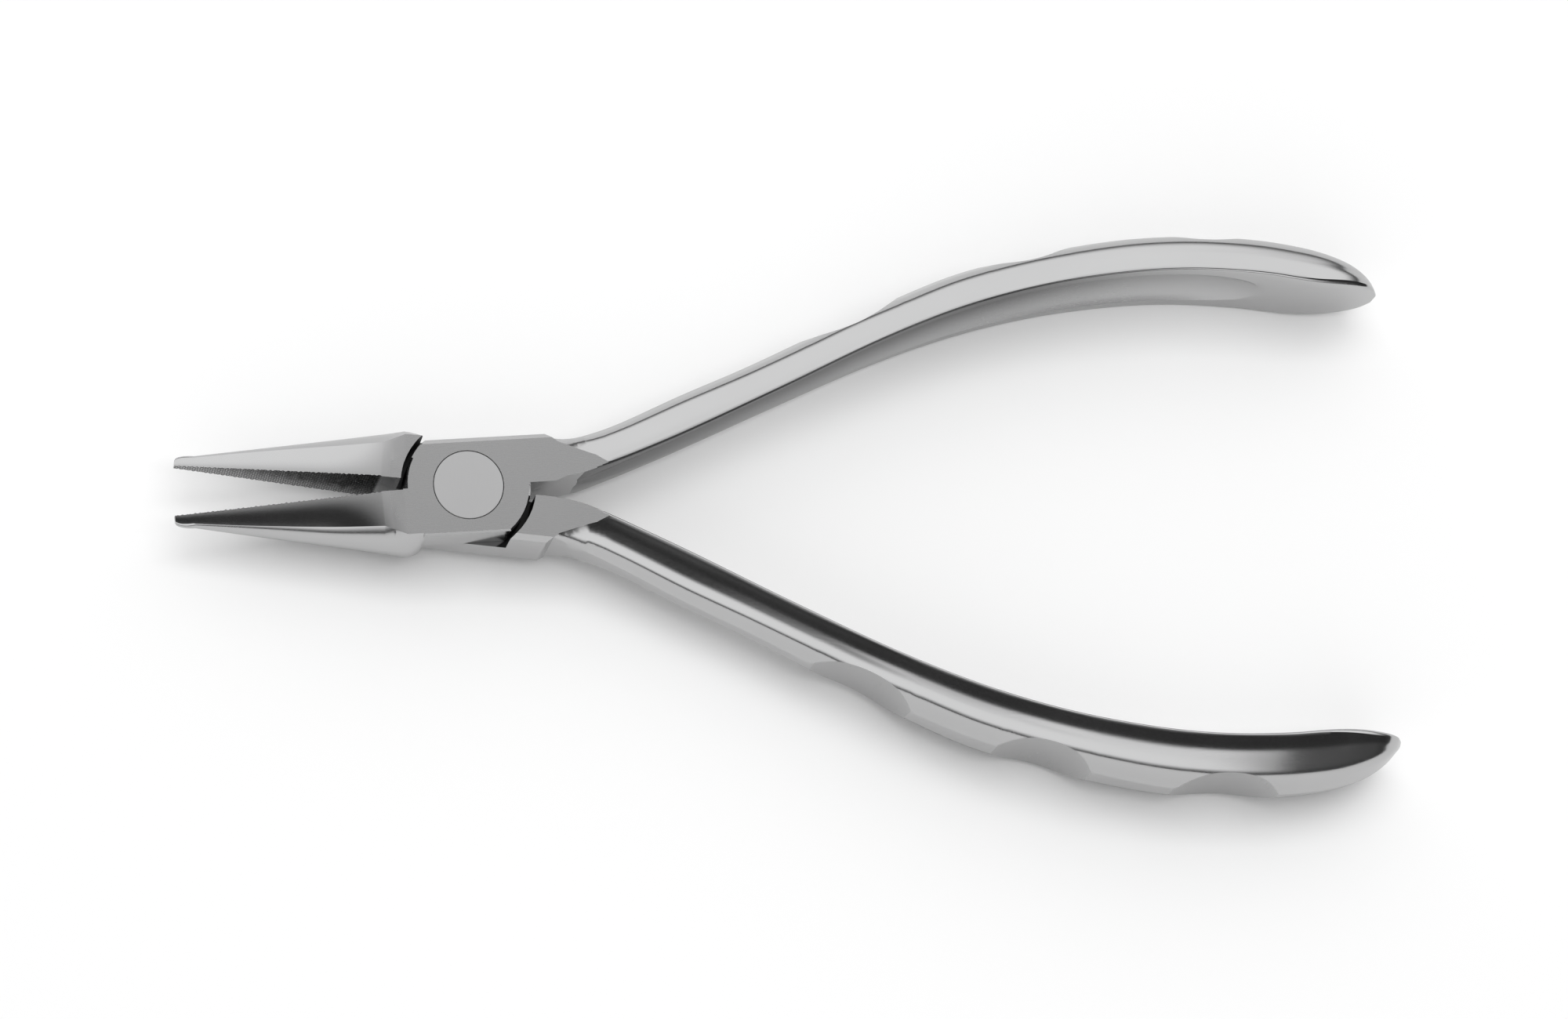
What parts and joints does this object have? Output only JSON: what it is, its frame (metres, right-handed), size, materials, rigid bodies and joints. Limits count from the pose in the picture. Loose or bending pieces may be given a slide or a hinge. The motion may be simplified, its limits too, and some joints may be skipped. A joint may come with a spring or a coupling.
{
  "type": "pliers",
  "caption": "Slim needle-nose lap-joint pliers with long tapering serrated jaws and fluted, finger-shaped handles, for holding and bending fine wire.",
  "frame": {"origin": "on the pivot axis, in the plane of the joint's flat back face", "axes": "+X towards the handle ends, +Y towards the front half's handle, +Z along the pivot axis, out of the rivet's large head"},
  "size_m": [0.142, 0.0672, 0.0137],
  "materials": {
    "polished_steel": "satin polished stainless steel",
    "rivet_steel": "fine ground stainless steel"
  },
  "bodies": {
    "rear": {"rear_half": "polished_steel"},
    "front": {"front_half": "polished_steel", "pivot_rivet": "rivet_steel"}
  },
  "joints": [
    {"name": "jaw_pivot", "type": "hinge", "parent": "rear", "child": "front", "pos_m": [0, 0, 0], "axis": [0, 0, 1], "range_deg": [-9.75, 74]}
  ]
}
